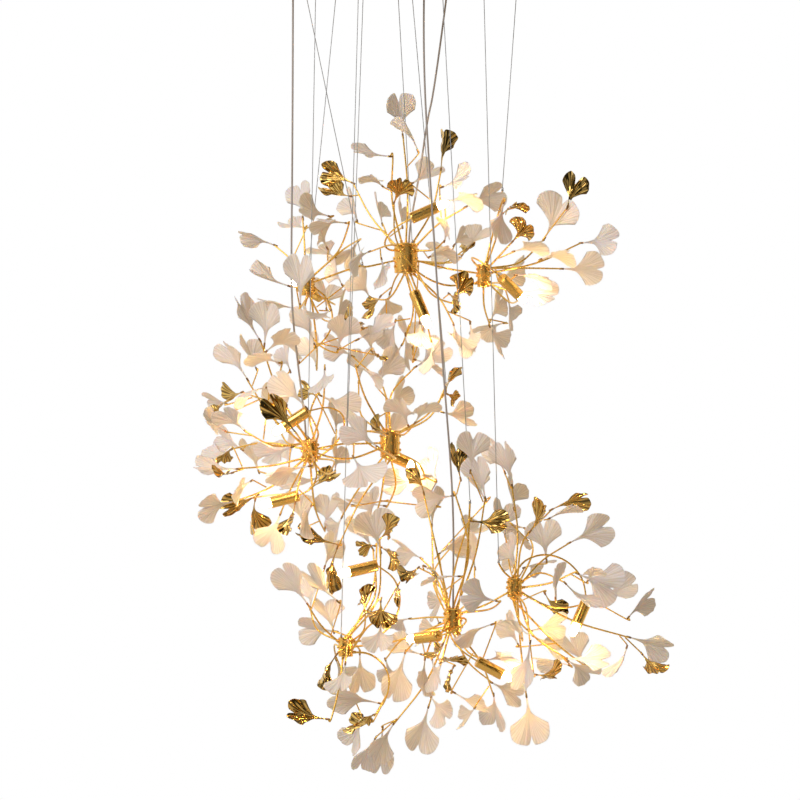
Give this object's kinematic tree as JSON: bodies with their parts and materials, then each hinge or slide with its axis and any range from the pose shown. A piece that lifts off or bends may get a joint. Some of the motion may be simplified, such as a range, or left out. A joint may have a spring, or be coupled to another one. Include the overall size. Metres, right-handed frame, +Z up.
{
  "type": "branch chandelier",
  "caption": "Hanging chandelier of brass branch sprays in overlapping tiers on thin wires, with ginkgo-shaped porcelain and gilt leaves and small capsule bulbs in brass tubes.",
  "frame": {"origin": "centre of the ceiling bolt pattern, on the ceiling plane", "axes": "+X right as pictured, +Y away from the viewer, +Z up"},
  "size_m": [0.9489, 0.6859, 1.6035],
  "materials": {
    "bisque_porcelain": "unglazed matt biscuit",
    "gilt_leaf": "mirror polished gold plate",
    "polished_brass": "satin polished",
    "rod_brass": "satin polished",
    "lit_bulb_glass": "frosted, lit",
    "steel_wire": "bright stranded",
    "plated_steel": "nickel plated",
    "zinc_steel": "zinc plated",
    "grey_flex": "matt sheath",
    "white_enamel": "satin white enamel",
    "white_plastic": "moulded"
  },
  "bodies": {
    "canopy": {"canopy_pan": "white_enamel", "ceiling_plate": "zinc_steel", "canopy_studs": "zinc_steel", "canopy_cap_nuts": "plated_steel", "wire_grippers": "plated_steel", "cable_glands": "white_plastic", "terminal_block": "white_plastic", "earth_nut": "zinc_steel"},
    "upper_tier": {"upper_centre_branches": "rod_brass", "upper_centre_porcelain_leaves": "bisque_porcelain", "upper_flex": "grey_flex", "upper_gilt_leaves": "gilt_leaf", "upper_hubs": "polished_brass", "upper_lampholders": "polished_brass", "upper_left_branches": "rod_brass", "upper_left_porcelain_leaves": "bisque_porcelain", "upper_right_branches": "rod_brass", "upper_right_porcelain_leaves": "bisque_porcelain", "upper_tie_rods": "rod_brass", "upper_wire_ferrules": "plated_steel", "upper_wires": "steel_wire"},
    "middle_tier": {"middle_centre_branches": "rod_brass", "middle_centre_porcelain_leaves": "bisque_porcelain", "middle_flex": "grey_flex", "middle_gilt_leaves": "gilt_leaf", "middle_hubs": "polished_brass", "middle_lampholders": "polished_brass", "middle_left_branches": "rod_brass", "middle_left_porcelain_leaves": "bisque_porcelain", "middle_tie_rods": "rod_brass", "middle_wire_ferrules": "plated_steel", "middle_wires": "steel_wire"},
    "lower_tier": {"lower_centre_branches": "rod_brass", "lower_centre_porcelain_leaves": "bisque_porcelain", "lower_flex": "grey_flex", "lower_gilt_leaves": "gilt_leaf", "lower_hubs": "polished_brass", "lower_lampholders": "polished_brass", "lower_left_branches": "rod_brass", "lower_left_porcelain_leaves": "bisque_porcelain", "lower_right_branches": "rod_brass", "lower_right_porcelain_leaves": "bisque_porcelain", "lower_tie_rods": "rod_brass", "lower_wire_ferrules": "plated_steel", "lower_wires": "steel_wire"},
    "bulb_01_body": {"bulb_01": "lit_bulb_glass"},
    "bulb_02_body": {"bulb_02": "lit_bulb_glass"},
    "bulb_03_body": {"bulb_03": "lit_bulb_glass"},
    "bulb_04_body": {"bulb_04": "lit_bulb_glass"},
    "bulb_05_body": {"bulb_05": "lit_bulb_glass"},
    "bulb_06_body": {"bulb_06": "lit_bulb_glass"},
    "bulb_07_body": {"bulb_07": "lit_bulb_glass"},
    "bulb_08_body": {"bulb_08": "lit_bulb_glass"},
    "bulb_09_body": {"bulb_09": "lit_bulb_glass"},
    "bulb_10_body": {"bulb_10": "lit_bulb_glass"},
    "bulb_11_body": {"bulb_11": "lit_bulb_glass"}
  },
  "joints": [
    {"name": "upper_swing", "type": "hinge", "parent": "canopy", "child": "upper_tier", "pos_m": [0, 0.085, -0.052], "axis": [1, 0, 0], "range_deg": [-0.8, 0.8]},
    {"name": "middle_swing", "type": "hinge", "parent": "canopy", "child": "middle_tier", "pos_m": [0, 0, -0.052], "axis": [1, 0, 0], "range_deg": [-0.8, 0.8]},
    {"name": "lower_swing", "type": "hinge", "parent": "canopy", "child": "lower_tier", "pos_m": [0, -0.095, -0.052], "axis": [1, 0, 0], "range_deg": [-0.8, 0.8]},
    {"name": "bulb_01_pull", "type": "slide", "parent": "upper_tier", "child": "bulb_01_body", "axis": [0.9117, 0.0675, 0.4052], "range_m": [0, 0.022]},
    {"name": "bulb_02_pull", "type": "slide", "parent": "upper_tier", "child": "bulb_02_body", "axis": [0.3613, -0.2662, -0.8937], "range_m": [0, 0.022]},
    {"name": "bulb_03_pull", "type": "slide", "parent": "upper_tier", "child": "bulb_03_body", "axis": [0.59, 0.5709, -0.5709], "range_m": [0, 0.022]},
    {"name": "bulb_04_pull", "type": "slide", "parent": "upper_tier", "child": "bulb_04_body", "axis": [-0.7605, 0.507, 0.4056], "range_m": [0, 0.022]},
    {"name": "bulb_05_pull", "type": "slide", "parent": "middle_tier", "child": "bulb_05_body", "axis": [-0.8367, 0, -0.5477], "range_m": [0, 0.022]},
    {"name": "bulb_06_pull", "type": "slide", "parent": "middle_tier", "child": "bulb_06_body", "axis": [-0.9681, 0, -0.2504], "range_m": [0, 0.022]},
    {"name": "bulb_07_pull", "type": "slide", "parent": "middle_tier", "child": "bulb_07_body", "axis": [0.9153, 0, -0.4027], "range_m": [0, 0.022]},
    {"name": "bulb_08_pull", "type": "slide", "parent": "lower_tier", "child": "bulb_08_body", "axis": [-0.9577, -0.1842, -0.221], "range_m": [0, 0.022]},
    {"name": "bulb_09_pull", "type": "slide", "parent": "lower_tier", "child": "bulb_09_body", "axis": [0.863, 0.1876, -0.469], "range_m": [0, 0.022]},
    {"name": "bulb_10_pull", "type": "slide", "parent": "lower_tier", "child": "bulb_10_body", "axis": [-0.7867, 0.6079, -0.1073], "range_m": [0, 0.022]},
    {"name": "bulb_11_pull", "type": "slide", "parent": "lower_tier", "child": "bulb_11_body", "axis": [-0.3763, -0.3763, -0.8466], "range_m": [0, 0.022]}
  ]
}
